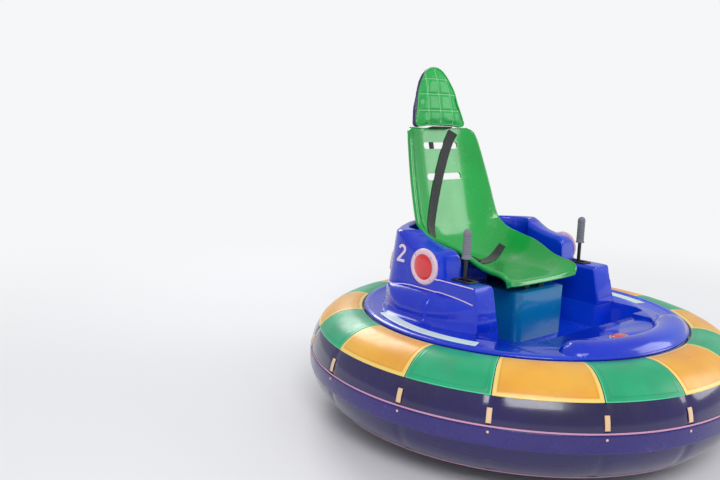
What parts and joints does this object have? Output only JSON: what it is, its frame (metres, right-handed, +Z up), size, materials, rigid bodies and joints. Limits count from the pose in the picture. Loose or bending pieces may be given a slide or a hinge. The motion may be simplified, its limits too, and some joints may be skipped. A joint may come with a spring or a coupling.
{
  "type": "bumper car",
  "caption": "Round battery bumper car with an inflated ring, bucket seat with headrest and belt, two drive levers, side drive wheels and swivel casters.",
  "frame": {"origin": "on the floor below the centre of the ring", "axes": "+Z up, the car's front towards -Y, the rider's right towards -X"},
  "size_m": [1.5998, 1.5998, 1.3181],
  "materials": {
    "ring_dark_vinyl": "semi-gloss coated vinyl",
    "green_vinyl": "semi-gloss coated vinyl",
    "yellow_vinyl": "semi-gloss coated vinyl",
    "band_vinyl": "scuffed vinyl",
    "blue_body": "gloss moulded shell",
    "teal_body": "gloss moulded shell",
    "pale_trim": "gloss strip",
    "lamp_bezel": "gloss plastic",
    "red_lens": "clear red plastic",
    "black_plastic": "fine grain",
    "black_steel": "powder coat",
    "zinc_steel": "zinc plated",
    "grip_rubber": "ribbed rubber",
    "green_shell": "satin moulded shell",
    "green_quilted": "quilted vinyl leather",
    "black_webbing": "woven webbing",
    "battery_case": "moulded case",
    "cast_alloy": "cast",
    "motor_case": "satin",
    "tyre_rubber": "worn rubber",
    "caster_rubber": "hard rubber"
  },
  "bodies": {
    "chassis": {"ring_tube": "ring_dark_vinyl", "ring_panels_green": "green_vinyl", "ring_panels_yellow": "yellow_vinyl", "rub_band": "band_vinyl", "deck": "blue_body", "flange_trim": "pale_trim", "cowl_right": "blue_body", "cowl_left": "blue_body", "pedestal": "teal_body", "lamp_bezels": "lamp_bezel", "lamp_lenses": "red_lens", "lever_slot_plates": "black_plastic", "lever_brackets": "zinc_steel", "seat_rails": "black_steel", "seat_shell": "green_shell", "headrest_bracket": "black_steel", "headrest_pad": "green_quilted", "shoulder_belt": "black_webbing", "lap_belt": "black_webbing", "belt_buckle": "black_plastic", "chassis_pan": "black_steel", "frame": "black_steel", "battery_pack": "battery_case", "gearboxes": "cast_alloy", "motors": "motor_case", "caster_plates": "zinc_steel"},
    "right_lever": {"lever_rod_right": "black_steel", "lever_grip_right": "grip_rubber"},
    "left_lever": {"lever_rod_left": "black_steel", "lever_grip_left": "grip_rubber"},
    "right_drive_wheel": {"drive_axle_right": "zinc_steel", "drive_hub_right": "cast_alloy", "drive_tyre_right": "tyre_rubber"},
    "left_drive_wheel": {"drive_axle_left": "zinc_steel", "drive_hub_left": "cast_alloy", "drive_tyre_left": "tyre_rubber"},
    "front_caster": {"caster_fork_front": "zinc_steel", "caster_axle_front": "zinc_steel"},
    "front_caster_roller": {"caster_wheel_front": "caster_rubber"},
    "rear_caster": {"caster_fork_rear": "zinc_steel", "caster_axle_rear": "zinc_steel"},
    "rear_caster_roller": {"caster_wheel_rear": "caster_rubber"}
  },
  "joints": [
    {"name": "right_lever_swing", "type": "hinge", "parent": "chassis", "child": "right_lever", "pos_m": [-0.338, -0.014, 0.4995], "axis": [1, 0, 0], "range_deg": [-20, 20], "stiffness_Nm_per_rad": 3},
    {"name": "left_lever_swing", "type": "hinge", "parent": "chassis", "child": "left_lever", "pos_m": [0.338, -0.014, 0.4995], "axis": [1, 0, 0], "range_deg": [-20, 20], "stiffness_Nm_per_rad": 3},
    {"name": "right_wheel_spin", "type": "hinge", "parent": "chassis", "child": "right_drive_wheel", "pos_m": [-0.3, 0, 0.1], "axis": [1, 0, 0], "continuous": true},
    {"name": "left_wheel_spin", "type": "hinge", "parent": "chassis", "child": "left_drive_wheel", "pos_m": [0.3, 0, 0.1], "axis": [1, 0, 0], "continuous": true},
    {"name": "front_caster_swivel", "type": "hinge", "parent": "chassis", "child": "front_caster", "pos_m": [0, -0.35, 0.13], "axis": [0, 0, 1], "continuous": true},
    {"name": "front_caster_roll", "type": "hinge", "parent": "front_caster", "child": "front_caster_roller", "pos_m": [0, -0.318, 0.05], "axis": [1, 0, 0], "continuous": true},
    {"name": "rear_caster_swivel", "type": "hinge", "parent": "chassis", "child": "rear_caster", "pos_m": [0, 0.35, 0.13], "axis": [0, 0, 1], "continuous": true},
    {"name": "rear_caster_roll", "type": "hinge", "parent": "rear_caster", "child": "rear_caster_roller", "pos_m": [0, 0.382, 0.05], "axis": [1, 0, 0], "continuous": true}
  ]
}
